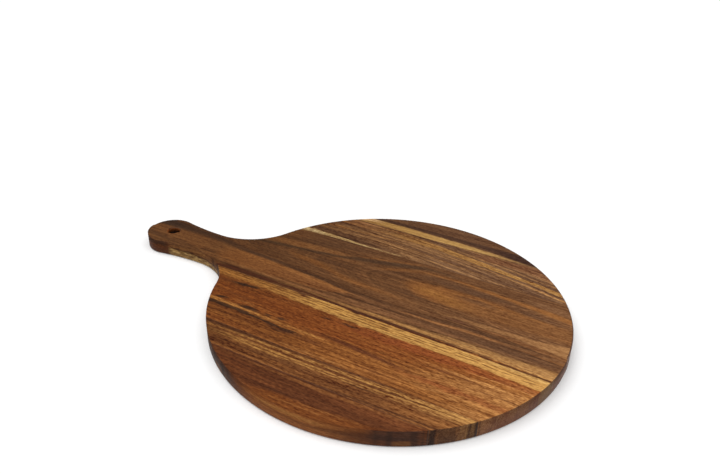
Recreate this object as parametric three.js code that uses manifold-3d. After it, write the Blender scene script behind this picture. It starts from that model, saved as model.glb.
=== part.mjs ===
// A round serving board with a waisted handle, in oiled acacia.
// Six staves are glued edge to edge into one panel, and the panel is then cut to a single outline.
// The origin is on the underside, at the centre of the disc. The handle points along +Y, and +Z is up.
import * as THREE from 'three';
import { mergeVertices } from 'three/addons/utils/BufferGeometryUtils.js';
import Module from 'manifold-3d';

// Driving dimensions of the outline, in millimetres
const DISC_DIAMETER = 320;
const THICKNESS = 15;
const EDGE_EASE = 1.5; // radius sanded along every edge, the hanging hole's too
const HANDLE_LENGTH = 120; // from the rim of the disc to the end of the handle
const WAIST_WIDTH = 38; // narrowest part of the grip
const END_FLARE = 5; // how far the round end swells past the waist on each side
const NECK_FILLET = 58; // radius of the curve from the disc into the grip
const HOLE_DIAMETER = 13;
const HOLE_FROM_END = 27; // from the end of the handle to the centre of the hanging hole

// Driving dimensions of the panel, in millimetres
const LEFT_EDGE_WIDTH = 32; // stave at the left rim
const STRIPED_WIDTH = 25.5; // stave beside it
const HANDLE_MARGIN = 6.5; // wood between the handle's widest place and the joint to its left
const STREAKED_WIDTH = 48; // stave to the right of the one that carries the handle
const RIGHT_EDGE_WIDTH = 37.5; // stave at the right rim
const GLUE_FILM = 0.2; // cured glue in each joint

// Fineness of the curves
const ARC_STEPS = 16;
const EASE_STEPS = 3;

// Finish of the oiled wood and of the cured glue
const WOOD_ROUGHNESS = 0.55;
const GLUE_ROUGHNESS = 0.7;
const GLUE_COLOUR = 0x4a2c17;

const wasm = await Module();
wasm.setup();

const discRadius = DISC_DIAMETER / 2;
const waist = WAIST_WIDTH / 2;
const endRadius = waist + END_FLARE;
const handleEnd = discRadius + HANDLE_LENGTH;

// The outline is a closed run of arcs, each tangent to the next: the disc, a neck fillet,
// the hollow side of the grip, the round end, and back down the other side.
function boardOutline() {
  const filletX = waist + NECK_FILLET;
  const neckY = Math.sqrt((discRadius + NECK_FILLET) ** 2 - filletX ** 2);
  const capY = handleEnd - endRadius;
  const rise = capY - neckY;
  const sideRadius = (waist ** 2 + rise ** 2 - endRadius ** 2) / (2 * END_FLARE);
  const sideX = waist + sideRadius;
  const discEnd = Math.atan2(neckY, filletX);
  const sideEnd = Math.atan2(rise, -sideX);
  const bottom = -Math.PI / 2;

  const outline = new THREE.Shape();
  outline.absarc(0, 0, discRadius, bottom, 0, false);
  outline.absarc(0, 0, discRadius, 0, discEnd, false);
  outline.absarc(filletX, neckY, NECK_FILLET, discEnd + Math.PI, Math.PI, true);
  outline.absarc(sideX, neckY, sideRadius, Math.PI, sideEnd, true);
  outline.absarc(0, capY, endRadius, sideEnd - Math.PI, 2 * Math.PI - sideEnd, false);
  outline.absarc(-sideX, neckY, sideRadius, Math.PI - sideEnd, 0, true);
  outline.absarc(-filletX, neckY, NECK_FILLET, 0, -discEnd, true);
  outline.absarc(0, 0, discRadius, Math.PI - discEnd, Math.PI, false);
  outline.absarc(0, 0, discRadius, Math.PI, Math.PI - bottom, false);

  const hole = new THREE.Path();
  hole.absarc(0, handleEnd - HOLE_FROM_END, HOLE_DIAMETER / 2, 0, 2 * Math.PI, true);
  outline.holes.push(hole);
  return outline;
}

// A closed three.js geometry as a solid that can be cut
function solidFrom(geometry) {
  geometry.deleteAttribute('normal');
  geometry.deleteAttribute('uv');
  const welded = mergeVertices(geometry);
  const mesh = new wasm.Mesh({
    numProp: 3,
    vertProperties: new Float32Array(welded.attributes.position.array),
    triVerts: new Uint32Array(welded.index.array),
  });
  return new wasm.Manifold(mesh);
}

// The whole panel after sawing, drilling and sanding: drawn edges stay at full size
// halfway up, and round over to the two faces.
function boardBlank() {
  const geometry = new THREE.ExtrudeGeometry(boardOutline(), {
    depth: THICKNESS - 2 * EDGE_EASE,
    curveSegments: ARC_STEPS,
    bevelThickness: EDGE_EASE,
    bevelSize: EDGE_EASE,
    bevelOffset: -EDGE_EASE,
    bevelSegments: EASE_STEPS,
  });
  geometry.translate(0, 0, EDGE_EASE);
  return solidFrom(geometry);
}

// The part of the blank between two planes square to X
function sliceOf(blank, left, right) {
  const reach = DISC_DIAMETER + HANDLE_LENGTH;
  const strip = new THREE.Shape();
  strip.moveTo(left, -reach);
  strip.lineTo(right, -reach);
  strip.lineTo(right, reach);
  strip.lineTo(left, reach);
  const slab = new THREE.ExtrudeGeometry(strip, { depth: 2 * reach, bevelEnabled: false });
  slab.translate(0, 0, -reach);
  return blank.intersect(solidFrom(slab));
}

function meshFrom(solid, name, colour, roughness) {
  const { vertProperties, triVerts } = solid.getMesh();
  const geometry = new THREE.BufferGeometry();
  geometry.setAttribute('position', new THREE.BufferAttribute(vertProperties, 3));
  geometry.setIndex(new THREE.BufferAttribute(triVerts, 1));
  geometry.computeVertexNormals();
  const material = new THREE.MeshStandardMaterial({ color: colour, roughness, metalness: 0 });
  const mesh = new THREE.Mesh(geometry, material);
  mesh.name = name;
  return mesh;
}

// The glue lines from left to right. The narrow staves keep their widths, the joint beside the handle
// keeps clear of it, and the two wide staves take what is left of the disc.
const glueLines = [
  -discRadius + LEFT_EDGE_WIDTH,
  -discRadius + LEFT_EDGE_WIDTH + STRIPED_WIDTH,
  -endRadius - HANDLE_MARGIN,
  discRadius - RIGHT_EDGE_WIDTH - STREAKED_WIDTH,
  discRadius - RIGHT_EDGE_WIDTH,
];
const staves = [
  { name: 'left_edge_stave', colour: 0x6b4024 },
  { name: 'striped_stave', colour: 0x7b5230 },
  { name: 'red_stave', colour: 0x8b5128 },
  { name: 'handle_stave', colour: 0x6f4b2d },
  { name: 'streaked_stave', colour: 0x8a6139 },
  { name: 'right_edge_stave', colour: 0x6a4628 },
];

// The panel is glued up wider than the disc, so its two outer sides lie past the rim.
const panelSides = [-DISC_DIAMETER, ...glueLines, DISC_DIAMETER];
const halfFilm = GLUE_FILM / 2;
const board = new THREE.Group();
const blank = boardBlank();
staves.forEach(({ name, colour }, index) => {
  const wood = sliceOf(blank, panelSides[index] + halfFilm, panelSides[index + 1] - halfFilm);
  board.add(meshFrom(wood, name, colour, WOOD_ROUGHNESS));
});
glueLines.forEach((x, index) => {
  const film = sliceOf(blank, x - halfFilm, x + halfFilm);
  board.add(meshFrom(film, `glue_line_${index + 1}`, GLUE_COLOUR, GLUE_ROUGHNESS));
});

export default board;
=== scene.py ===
"""A round serving board with a handle, edge-glued from oiled acacia staves, on a white studio floor."""
import math

import bmesh
import bpy
from mathutils import Color, Matrix, Vector


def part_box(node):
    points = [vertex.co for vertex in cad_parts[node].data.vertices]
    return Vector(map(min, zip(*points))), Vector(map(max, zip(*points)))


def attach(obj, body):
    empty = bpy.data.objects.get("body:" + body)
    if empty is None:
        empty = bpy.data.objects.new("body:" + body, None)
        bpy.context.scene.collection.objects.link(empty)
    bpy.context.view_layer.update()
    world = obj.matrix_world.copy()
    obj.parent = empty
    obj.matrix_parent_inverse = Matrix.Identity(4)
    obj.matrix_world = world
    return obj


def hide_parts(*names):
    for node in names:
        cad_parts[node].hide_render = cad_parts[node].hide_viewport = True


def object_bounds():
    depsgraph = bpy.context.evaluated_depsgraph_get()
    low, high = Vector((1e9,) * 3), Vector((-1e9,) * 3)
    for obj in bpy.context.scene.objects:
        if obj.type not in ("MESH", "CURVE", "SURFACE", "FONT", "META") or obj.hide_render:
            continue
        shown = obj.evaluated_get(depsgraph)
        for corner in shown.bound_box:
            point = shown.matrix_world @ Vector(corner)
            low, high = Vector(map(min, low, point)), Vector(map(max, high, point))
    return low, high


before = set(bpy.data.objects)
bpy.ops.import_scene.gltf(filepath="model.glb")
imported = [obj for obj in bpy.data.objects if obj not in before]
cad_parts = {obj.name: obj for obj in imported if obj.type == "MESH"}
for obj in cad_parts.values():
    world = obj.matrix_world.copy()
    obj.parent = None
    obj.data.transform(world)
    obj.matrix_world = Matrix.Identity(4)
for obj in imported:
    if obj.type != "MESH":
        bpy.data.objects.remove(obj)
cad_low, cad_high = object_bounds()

# Left edge stave
# A dark red-brown heartwood stave at the left rim, planed, glued to its neighbour along one side
# and cut to the disc's curve on the other. All staves are cut from one glued panel, so the shape of
# the whole panel and the way wood is painted are set up here.
DISC_RADIUS = cad_high.x
THICKNESS = cad_high.z
HANDLE_END = cad_high.y
WAIST = 0.019           # half width of the grip at its narrowest
END_RADIUS = 0.024      # round end of the handle
NECK_FILLET = 0.058     # curve from the disc into the grip
HOLE_RADIUS = 0.0065
HOLE_FROM_END = 0.027
EDGE_EASE = 0.0015      # sanded radius along every edge
EASE_STEPS = 6
ARC_STEP = 0.0016       # longest straight stretch on a curve
LEAST_ARC_STEPS = 20
ROUND_PROFILE = 0.5     # makes the eased edge a quarter circle
WELD = 1e-6             # points of the two mirrored halves that are this near become one
ON_PLANE = 1e-7         # points this near to a joint's plane lie on it
FLAT = 0.999            # a face whose normal is this upright belongs to one of the two flat sides
UP = Vector((0, 0, 1))


def swing(bm, tip, centre, angle):
    """Draws an arc by turning a point about a centre, and gives the point where it ends."""
    steps = max(LEAST_ARC_STEPS, math.ceil((tip.co - centre).length * abs(angle) / ARC_STEP))
    arc = bmesh.ops.spin(bm, geom=[tip], cent=centre, axis=UP, angle=angle, steps=steps)
    return arc["geom_last"][0]


def board_panel():
    """The whole panel after it is sawn to outline, drilled and sanded, as one closed bmesh."""
    neck_y = math.sqrt((DISC_RADIUS + NECK_FILLET) ** 2 - (WAIST + NECK_FILLET) ** 2)
    cap_y = HANDLE_END - END_RADIUS
    rise = cap_y - neck_y
    flare = END_RADIUS - WAIST
    side_radius = (WAIST ** 2 + rise ** 2 - END_RADIUS ** 2) / (2 * flare)
    disc_turn = math.atan2(neck_y, WAIST + NECK_FILLET)
    side_turn = math.atan2(rise, WAIST + side_radius)
    hole_y = HANDLE_END - HOLE_FROM_END

    bm = bmesh.new()
    bottom = bm.verts.new((0, -DISC_RADIUS, 0))
    tip = swing(bm, bottom, Vector((0, 0, 0)), math.pi / 2)
    tip = swing(bm, tip, Vector((0, 0, 0)), disc_turn)
    tip = swing(bm, tip, Vector((WAIST + NECK_FILLET, neck_y, 0)), -disc_turn)
    tip = swing(bm, tip, Vector((WAIST + side_radius, neck_y, 0)), -side_turn)
    tip = swing(bm, tip, Vector((0, cap_y, 0)), math.pi / 2 + side_turn)
    hole_top = bm.verts.new((0, hole_y + HOLE_RADIUS, 0))
    hole_bottom = swing(bm, hole_top, Vector((0, hole_y, 0)), -math.pi)
    for end in (bottom, tip, hole_top, hole_bottom):
        end.co.x = 0
    bm.edges.new((tip, hole_top))
    bm.edges.new((hole_bottom, bottom))
    bmesh.ops.contextual_create(bm, geom=bm.edges[:])
    bmesh.ops.mirror(bm, geom=bm.verts[:] + bm.edges[:] + bm.faces[:], axis="X", merge_dist=WELD)

    top = bmesh.ops.extrude_face_region(bm, geom=bm.faces[:])["geom"]
    raised = [part for part in top if isinstance(part, bmesh.types.BMVert)]
    bmesh.ops.translate(bm, verts=raised, vec=UP * THICKNESS)
    bmesh.ops.recalc_face_normals(bm, faces=bm.faces[:])
    arrises = [edge for edge in bm.edges if abs(sum(face.normal.z for face in edge.link_faces)) == 1]
    bmesh.ops.bevel(
        bm, geom=arrises, offset=EDGE_EASE, offset_type="OFFSET", segments=EASE_STEPS,
        profile=ROUND_PROFILE, affect="EDGES", material=-1, loop_slide=False)
    return bm


def put_in_scene(name, data):
    made = bpy.data.objects.new(name, data)
    bpy.context.scene.collection.objects.link(made)
    return made


def cut_stave(node, name):
    """The slice of the panel that one CAD node takes up, as a piece that stands for the node."""
    low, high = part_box(node)
    bm = board_panel()
    joint_faces = []
    for x, outward in ((low.x, -1), (high.x, 1)):
        if abs(x) < DISC_RADIUS - EDGE_EASE:
            cut = bmesh.ops.bisect_plane(
                bm, geom=bm.verts[:] + bm.edges[:] + bm.faces[:], dist=ON_PLANE,
                plane_co=(x, 0, 0), plane_no=(outward, 0, 0), clear_outer=True)["geom_cut"]
            rim = [part for part in cut if isinstance(part, bmesh.types.BMEdge)]
            joint_faces += bmesh.ops.edgeloop_fill(bm, edges=rim)["faces"]
    bmesh.ops.recalc_face_normals(bm, faces=bm.faces[:])
    for face in bm.faces:
        face.smooth = abs(face.normal.z) < FLAT and face not in joint_faces
    mesh = bpy.data.meshes.new(name)
    bm.to_mesh(mesh)
    bm.free()
    piece = put_in_scene(name, mesh)
    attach(piece, "root")
    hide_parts(node)
    return piece


SCREEN_WHITE = 255


def tone(*shown):
    """A colour as it looks on screen, 0 to 255, as the linear colour that a shader takes."""
    return (*Color([value / SCREEN_WHITE for value in shown]).from_srgb_to_scene_linear(), 1)


def new_material(name):
    """A material, its node tree and its shader."""
    material = bpy.data.materials.new(name)
    material.use_nodes = True
    return material, material.node_tree, material.node_tree.nodes["Principled BSDF"]


def add_node(tree, kind, inputs, **settings):
    """One shader node, each input given a value or linked to another node's output."""
    made = tree.nodes.new("ShaderNode" + kind)
    for name, value in settings.items():
        setattr(made, name, value)
    for name, value in inputs.items():
        if isinstance(value, bpy.types.NodeSocket):
            tree.links.new(value, made.inputs[name])
        else:
            made.inputs[name].default_value = value
    return made


def maths(tree, operation, *values):
    return add_node(tree, "Math", dict(enumerate(values)), operation=operation).outputs[0]


def vector_maths(tree, operation, *values):
    return add_node(tree, "VectorMath", dict(enumerate(values)), operation=operation).outputs[0]


def scaled(tree, vector, by):
    return add_node(tree, "VectorMath", {0: vector, "Scale": by}, operation="SCALE").outputs[0]


def smooth_step(tree, value, start, end):
    """0 where the value is at start, 1 where it is at end, eased between them."""
    return add_node(
        tree, "MapRange", {"Value": value, "From Min": start, "From Max": end},
        interpolation_type="SMOOTHSTEP").outputs[0]


SOCKET_KINDS = {"Place": "NodeSocketVector", "Grain": "NodeSocketVector", "Path": "NodeSocketColor"}


def new_group(name, inputs, outputs):
    """An empty shader node group, with the sockets that carry values in and out of it."""
    tree = bpy.data.node_groups.new(name, "ShaderNodeTree")
    for names, way in ((inputs, "INPUT"), (outputs, "OUTPUT")):
        for socket in names:
            kind = SOCKET_KINDS.get(socket, "NodeSocketFloat")
            tree.interface.new_socket(socket, in_out=way, socket_type=kind)
    given = tree.nodes.new("NodeGroupInput").outputs
    result = tree.nodes.new("NodeGroupOutput").inputs
    return tree, given, result


NOISE_MEAN = 0.5
NOISE_SPREAD = 8.0      # brings the noise's usual swing to about 1 either way
NOISE_TURN = (0.6, 0.5, 0.4)    # turns the noise's own lattice out of line with the board


def stretched_noise(tree, vector, size, detail=0.0):
    """Noise whose blotches measure size millimetres, centred on 0."""
    sized = vector_maths(tree, "MULTIPLY", vector, [1 / s for s in size])
    turned = add_node(tree, "VectorRotate", {"Vector": sized, "Rotation": NOISE_TURN},
                      rotation_type="EULER_XYZ").outputs[0]
    noise = add_node(tree, "TexNoise", {"Vector": turned, "Scale": 1.0, "Detail": detail}).outputs["Fac"]
    return maths(tree, "MULTIPLY", maths(tree, "SUBTRACT", noise, NOISE_MEAN), NOISE_SPREAD)


MM = 1000.0             # the grain is laid out in millimetres
SLOW_BEND = (32, 130, 40)
QUICK_BEND = (7, 40, 9)
QUICK_SHARE = 0.35
SEED_STEP = (170.0, 510.0, 97.0)
SWEEP_EASE = 80.0


def grain_group():
    """Where a point lies in the wood's own grain: across and along it, and as a place in the noise.
    The grain wanders, leans with depth, and can sweep to one side past a given place."""
    tree, given, result = new_group(
        "grain_space", ("Place", "Lean", "Wander", "Sweep", "Sweep from", "Seed"),
        ("Across", "Along", "Grain"))
    place = scaled(tree, given["Place"], MM)
    at = add_node(tree, "SeparateXYZ", {0: place}).outputs
    shift = scaled(tree, SEED_STEP, given["Seed"])
    own = vector_maths(tree, "ADD", place, shift)
    slow = stretched_noise(tree, own, SLOW_BEND)
    quick = stretched_noise(tree, own, QUICK_BEND)
    drift = maths(tree, "MULTIPLY", maths(tree, "MULTIPLY_ADD", quick, QUICK_SHARE, slow), given["Wander"])
    depth = maths(tree, "SUBTRACT", THICKNESS * MM, at["Z"])
    across = maths(tree, "ADD", maths(tree, "MULTIPLY_ADD", depth, given["Lean"], at["X"]), drift)
    past = maths(tree, "SMOOTH_MIN", maths(tree, "SUBTRACT", at["Y"], given["Sweep from"]), 0.0, SWEEP_EASE)
    swept = maths(tree, "SUBTRACT", across, maths(tree, "MULTIPLY", past, given["Sweep"]))
    laid = add_node(tree, "CombineXYZ", {0: swept, 1: at["Y"], 2: at["Z"]}).outputs[0]
    tree.links.new(across, result["Across"])
    tree.links.new(at["Y"], result["Along"])
    tree.links.new(vector_maths(tree, "ADD", laid, shift), result["Grain"])
    return tree


FIBRE_SIZES = {         # width, length and depth of the wood's texture, in millimetres
    "Bands": (8.0, 150, 12.0), "Bundles": (3.2, 100, 6.0), "Strands": (1.5, 10, 2.2),
    "Fibres": (0.7, 4.2, 1.0), "Lines": (1.8, 120, 3.0), "Mottle": (1.6, 2.2, 1.6)}
FIBRE_DETAIL = 2.0
PORE_SIZE = (0.6, 7, 0.6)
PORE_RARITY = (1.2, 1.9)
PALE_VEINS = (4.6, 170, 8.0)
DARK_VEINS = (6.0, 210, 10.0)
VEIN_PATCHES = (9.0, 70, 12.0)
VEIN_EDGES = (0.42, 0.06)       # how near a slow noise comes to 0 where a vein begins and is full
VEIN_FADE = 0.6                 # how far pale veins and dark ones keep to patches of their own


def fibre_group():
    """The wood's texture at each scale, from broad bands to single fibres, its thin pale and dark
    veins, and its open pores, which are short dark dashes along the grain."""
    tree, given, result = new_group("wood_fibres", ("Grain",), (*FIBRE_SIZES, "Veins", "Pores"))
    for name, size in FIBRE_SIZES.items():
        detail = FIBRE_DETAIL if name == "Fibres" else 0.0
        tree.links.new(stretched_noise(tree, given["Grain"], size, detail), result[name])
    patches = stretched_noise(tree, given["Grain"], VEIN_PATCHES)
    veins = 0.0
    for size, sign in ((PALE_VEINS, 1.0), (DARK_VEINS, -1.0)):
        line = maths(tree, "ABSOLUTE", stretched_noise(tree, given["Grain"], size))
        shown = smooth_step(tree, patches, -VEIN_FADE * sign, VEIN_FADE * sign)
        line = maths(tree, "MULTIPLY", smooth_step(tree, line, *VEIN_EDGES), shown)
        veins = maths(tree, "MULTIPLY_ADD", line, sign, veins)
    tree.links.new(veins, result["Veins"])
    dashes = stretched_noise(tree, given["Grain"], PORE_SIZE)
    tree.links.new(smooth_step(tree, dashes, *PORE_RARITY), result["Pores"])
    return tree


PATH_LEFT = -210.0      # the stretch of wood that a streak's path is drawn in
PATH_WIDTH = 420.0
PATH_TOP = 300.0
PATH_LENGTH = 480.0
WIDEST_STREAK = 32.0


def streak_group():
    """A band of other wood along the grain. Its path gives the middle line as red, the half width
    as green and the strength as blue, and its edges are soft and ragged."""
    tree, given, result = new_group("grain_streak", ("Across", "Fibre", "Path", "Soft", "Ragged"), ("Mask",))
    path = add_node(tree, "SeparateColor", {0: given["Path"]}).outputs
    line = maths(tree, "MULTIPLY_ADD", path["Red"], PATH_WIDTH, PATH_LEFT)
    width = maths(tree, "MULTIPLY", path["Green"], WIDEST_STREAK)
    away = maths(tree, "ABSOLUTE", maths(tree, "SUBTRACT", given["Across"], line))
    edge = maths(tree, "MULTIPLY_ADD", given["Fibre"], given["Ragged"], maths(tree, "SUBTRACT", width, away))
    half = maths(tree, "MULTIPLY", given["Soft"], 0.5)
    body = smooth_step(tree, edge, maths(tree, "MULTIPLY", half, -1.0), half)
    tree.links.new(maths(tree, "MULTIPLY", body, path["Blue"]), result["Mask"])
    return tree


GRAIN = grain_group()
FIBRES = fibre_group()
STREAK = streak_group()


def use_group(tree, group, inputs):
    return add_node(tree, "Group", inputs, node_tree=group).outputs


def mix_colours(tree, share, under, over):
    return add_node(tree, "Mix", {0: share, 6: under, 7: over}, data_type="RGBA").outputs[2]


NECK_PAINTED_SHADE = (0.76, 0.70, 0.56, 1)   # painted light: the wood is painted darker and warmer by the neck and paler at the far end, where light falls stronger
FAR_PAINTED_LIGHT = (1.24, 1.30, 1.40, 1)
MIDDLE = 0.5                        # where a stave's middle colour lies between its dark and its light one
PERCENT = 100
WALL_SLOPE = (0.2, 0.5)             # how steep a surface is where the sawn wall begins and is full
END_GRAIN = tone(104, 71, 56)
END_GRAIN_SHARE = 0.88
END_GRAIN_TURN = 1.3                # how fast end grain gives way to side grain round the rim
EASED_SLOPE = (0.15, 0.7)           # how far the eased edge above the wall turns upwards
EASED_SHADE = -0.5
END_CALM = -0.5                     # texture that is lost on the end grain
TEXTURE_TINT = (0.8, 1.0, 1.1)      # light fibres are more golden and dark ones redder
LINES_SHOWN = 0.04
BUNDLES_SHOWN = 0.03
ROUGHNESS = 0.50
ROUGHNESS_SWING = 0.03
PORE_DEPTH = -2.0
RELIEF = {"Strength": 0.2, "Distance": 0.00005}
SHEEN = 0.1


class Wood:
    """A stave's material while it is built up: its grain, then its colour layer by layer."""

    def __init__(self, name, seed, dark, middle, light, lean=0.1, wander=0.4, sweep=0.0, sweep_from=0.0,
                 bands=0.08, bundles=0.06, lines=0.07):
        self.material, self.tree, self.shader = new_material(name)
        place = add_node(self.tree, "TexCoord", {}).outputs["Object"]
        millimetres = scaled(self.tree, place, MM)
        self.at = add_node(self.tree, "SeparateXYZ", {0: millimetres}).outputs
        self.grain = use_group(self.tree, GRAIN, {
            "Place": place, "Lean": lean, "Wander": wander, "Seed": seed,
            "Sweep": sweep, "Sweep from": sweep_from})
        self.fibres = use_group(self.tree, FIBRES, {"Grain": self.grain["Grain"]})
        down = maths(self.tree, "SUBTRACT", PATH_TOP, self.grain["Along"])
        self.down = maths(self.tree, "DIVIDE", down, PATH_LENGTH)
        value = MIDDLE
        for texture, weight in (("Bands", bands), ("Bundles", bundles), ("Lines", lines)):
            value = maths(self.tree, "MULTIPLY_ADD", self.fibres[texture], weight, value)
        ramp = add_node(self.tree, "ValToRGB", {"Fac": value})
        ramp.color_ramp.elements[0].color = dark
        ramp.color_ramp.elements[1].color = light
        ramp.color_ramp.elements.new(MIDDLE).color = middle
        self.colour = ramp.outputs["Color"]
        self.open = 1.0

    def streak(self, name, colour, points, soft=1.6, ragged=0.2, only=1.0, measure=None, closed=0.0):
        """Lays a streak over the colour so far. Each of its points has the place along the board, the
        place across it and the half width, in millimetres on the serving face, and the strength in
        percent. Closed is how far its wood is closer grained than the rest."""
        path = add_node(self.tree, "ValToRGB", {"Fac": self.down}, label=name)
        ramp = path.color_ramp
        ramp.interpolation = "CARDINAL"
        places = [(PATH_TOP - along) / PATH_LENGTH for along, across, half_width, strength in points]
        ramp.elements[0].position = places[0]
        ramp.elements[1].position = places[-1]
        for place in places[1:-1]:
            ramp.elements.new(place)
        for stop, (along, across, half_width, strength) in zip(ramp.elements, points):
            line = (across - PATH_LEFT) / PATH_WIDTH
            stop.color = (line, half_width / WIDEST_STREAK, strength / PERCENT, 1)
        mask = use_group(self.tree, STREAK, {
            "Across": measure or self.grain["Across"], "Fibre": self.fibres["Strands"],
            "Path": path.outputs["Color"], "Soft": soft, "Ragged": ragged})["Mask"]
        mask = maths(self.tree, "MULTIPLY", mask, only)
        self.colour = mix_colours(self.tree, mask, self.colour, colour)
        if closed:
            left_open = maths(self.tree, "MULTIPLY_ADD", mask, -closed, 1.0)
            self.open = maths(self.tree, "MULTIPLY", self.open, left_open)

    def wall_band(self, name, colour, band, only, soft=1.2):
        """Lays an upright band over the sawn wall, with the place across the board, the half width and
        the strength of a streak that runs straight through the stave."""
        points = [(along, *band) for along in (PATH_TOP, PATH_TOP - PATH_LENGTH)]
        self.streak(name, colour, points, soft=soft, only=only, measure=self.at["X"])

    def end_grain(self, colour=END_GRAIN):
        """Darkens the sawn wall where it cuts across the fibres, and the sanded edge above it."""
        tree = self.tree
        normal = add_node(tree, "NewGeometry", {}).outputs["Normal"]
        facing = add_node(tree, "SeparateXYZ", {0: normal}).outputs
        steep = maths(tree, "SQRT", maths(tree, "SUBTRACT", 1.0, maths(tree, "POWER", facing["Z"], 2.0)))
        crosswise = maths(tree, "DIVIDE", maths(tree, "ABSOLUTE", facing["Y"]), steep)
        self.wall = smooth_step(tree, steep, *WALL_SLOPE)
        self.ends = maths(tree, "MULTIPLY", maths(tree, "POWER", crosswise, END_GRAIN_TURN), self.wall)
        eased = maths(tree, "MULTIPLY", smooth_step(tree, facing["Z"], *EASED_SLOPE), self.ends)
        light = maths(tree, "MULTIPLY_ADD", eased, EASED_SHADE, 1.0)
        shade = scaled(tree, colour[:3], light)
        share = maths(tree, "MULTIPLY", self.ends, END_GRAIN_SHARE)
        self.colour = mix_colours(tree, share, self.colour, shade)

    def finish(self, piece, veins=0.27, fibres=0.29, strands=0.06, mottle=0.08, pores=0.05):
        """Adds veins, fibres, pores and painted light to the colour, and gives the oiled surface to a piece.
        """
        tree = self.tree
        value = 0.0
        close = {"Fibres": fibres, "Strands": strands, "Mottle": mottle, "Pores": -pores}
        for name, weight in close.items():
            value = maths(tree, "MULTIPLY_ADD", self.fibres[name], weight, value)
        value = maths(tree, "MULTIPLY", value, self.open)
        for name, weight in (("Veins", veins), ("Lines", LINES_SHOWN), ("Bundles", BUNDLES_SHOWN)):
            value = maths(tree, "MULTIPLY_ADD", self.fibres[name], weight, value)
        calm = maths(tree, "MULTIPLY_ADD", self.ends, END_CALM, 1.0)
        value = maths(tree, "MULTIPLY", value, calm)
        texture = vector_maths(tree, "MULTIPLY_ADD", value, TEXTURE_TINT, (1, 1, 1))
        colour = vector_maths(tree, "MULTIPLY", self.colour, texture)
        # painted light: the colour is darkened and warmed by the neck and paled towards the far end
        disc = {"From Min": DISC_RADIUS * MM, "From Max": -DISC_RADIUS * MM}
        far = add_node(tree, "MapRange", {"Value": self.grain["Along"], **disc}).outputs[0]
        colour = vector_maths(tree, "MULTIPLY", colour, mix_colours(tree, far, NECK_PAINTED_SHADE, FAR_PAINTED_LIGHT))
        tree.links.new(colour, self.shader.inputs["Base Color"])
        rough = maths(tree, "MULTIPLY_ADD", self.fibres["Strands"], ROUGHNESS_SWING, ROUGHNESS)
        tree.links.new(rough, self.shader.inputs["Roughness"])
        height = maths(tree, "MULTIPLY_ADD", self.fibres["Pores"], PORE_DEPTH, self.fibres["Fibres"])
        bump = add_node(tree, "Bump", {"Height": height, **RELIEF}).outputs[0]
        tree.links.new(bump, self.shader.inputs["Normal"])
        self.shader.inputs["Specular IOR Level"].default_value = SHEEN
        piece.data.materials.append(self.material)


left_edge = cut_stave("left_edge_stave", "left_edge_board")
wood = Wood("left_edge_acacia", 1, lean=-2.5, bands=0.05, bundles=0.05,
            dark=tone(73, 39, 20), middle=tone(96, 52, 26), light=tone(121, 68, 34))
ORANGE_BROWN = tone(113, 61, 24)
RIM_ORANGE = tone(146, 88, 44)
TAN_BROWN = tone(146, 92, 46)
DARK_LINE = tone(68, 37, 22)
RIM_PAINTED_HIGHLIGHT = tone(152, 106, 56)
RIM_PAINTED_REFLECTION = tone(84, 66, 56)
RIM_BAR = tone(46, 31, 24)
wood.streak("rim, orange", RIM_ORANGE, [
    (58, -180, 18, 0), (36, -180, 22, 70), (-28, -178, 22, 75), (-44, -177, 22, 45),
    (-64, -172, 20, 0)], soft=8)
# painted highlight: a tan line near the top of the rim's wall, where the eased edge catches light
wood.streak("rim, painted highlight above", RIM_PAINTED_HIGHLIGHT, [
    (36, -169, 3, 0), (20, -169, 4, 40), (-20, -168, 4, 38), (-38, -166, 3, 0)], soft=4)
wood.streak("rim, dark arc", DARK_LINE, [
    (30, -172, 2, 0), (8, -178, 2.5, 45), (-22, -178, 3, 50), (-50, -168, 6, 60), (-72, -163, 8, 60),
    (-100, -158, 8, 20)], soft=5)
# partly painted reflection: the rim's wall by the neck is darker wood, greyed by a painted grazing
# reflection
wood.streak("rim, painted grey reflection by the neck", RIM_PAINTED_REFLECTION, [
    (110, -165, 32, 80), (78, -172, 20, 70), (50, -176, 14, 0)], soft=8)
wood.streak("orange zone", ORANGE_BROWN, [
    (52, -157, 1, 0), (25, -155, 5, 80), (0, -155, 6, 85), (-30, -153.5, 6.5, 85), (-55, -150, 5, 70),
    (-75, -146, 4, 30), (-92, -143, 3, 0)], soft=3)
wood.streak("light line, outer", TAN_BROWN, [
    (32, -154.6, 0.4, 0), (10, -154, 0.6, 50), (-25, -152.5, 0.6, 40), (-45, -151, 0.5, 0)], soft=1.2)
wood.streak("light line, inner", TAN_BROWN, [
    (8, -150, 0.4, 0), (-15, -149.3, 0.7, 55), (-45, -147.5, 0.7, 50), (-62, -146, 0.4, 0)], soft=1.2)
wood.streak("dark heart", DARK_LINE, [
    (60, -145, 1.2, 0), (30, -147.6, 1.8, 28), (12, -145.5, 2, 40), (-5, -144, 1.4, 25),
    (-30, -143, 1, 0)], soft=2.5)
wood.streak("light streak by the joint", TAN_BROWN, [
    (95, -131.6, 0.6, 20), (60, -131, 0.8, 35), (20, -130.8, 1.1, 50), (-20, -130.3, 1.3, 55),
    (-60, -129.6, 1.1, 40), (-92, -128.6, 0.8, 20)], soft=1.8)
JOINT_LINE = [
    (95, -129.4, 0.6, 30), (50, -128.9, 0.7, 60), (10, -128.2, 0.8, 65), (-30, -127, 0.9, 70),
    (-60, -126, 0.9, 75), (-90, -125, 0.8, 70), (-108, -124.5, 0.7, 50)]
wood.streak("dark line on the joint", DARK_LINE, JOINT_LINE)
wood.end_grain(tone(74, 48, 34))
LOW_PART = (6.5, 5.0)   # heights where the low part of the rim's wall begins and is full
HIGH_PART = (4.5, 7.5)
low_wall = maths(wood.tree, "MULTIPLY", wood.wall, smooth_step(wood.tree, wood.at["Z"], *LOW_PART))
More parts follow.
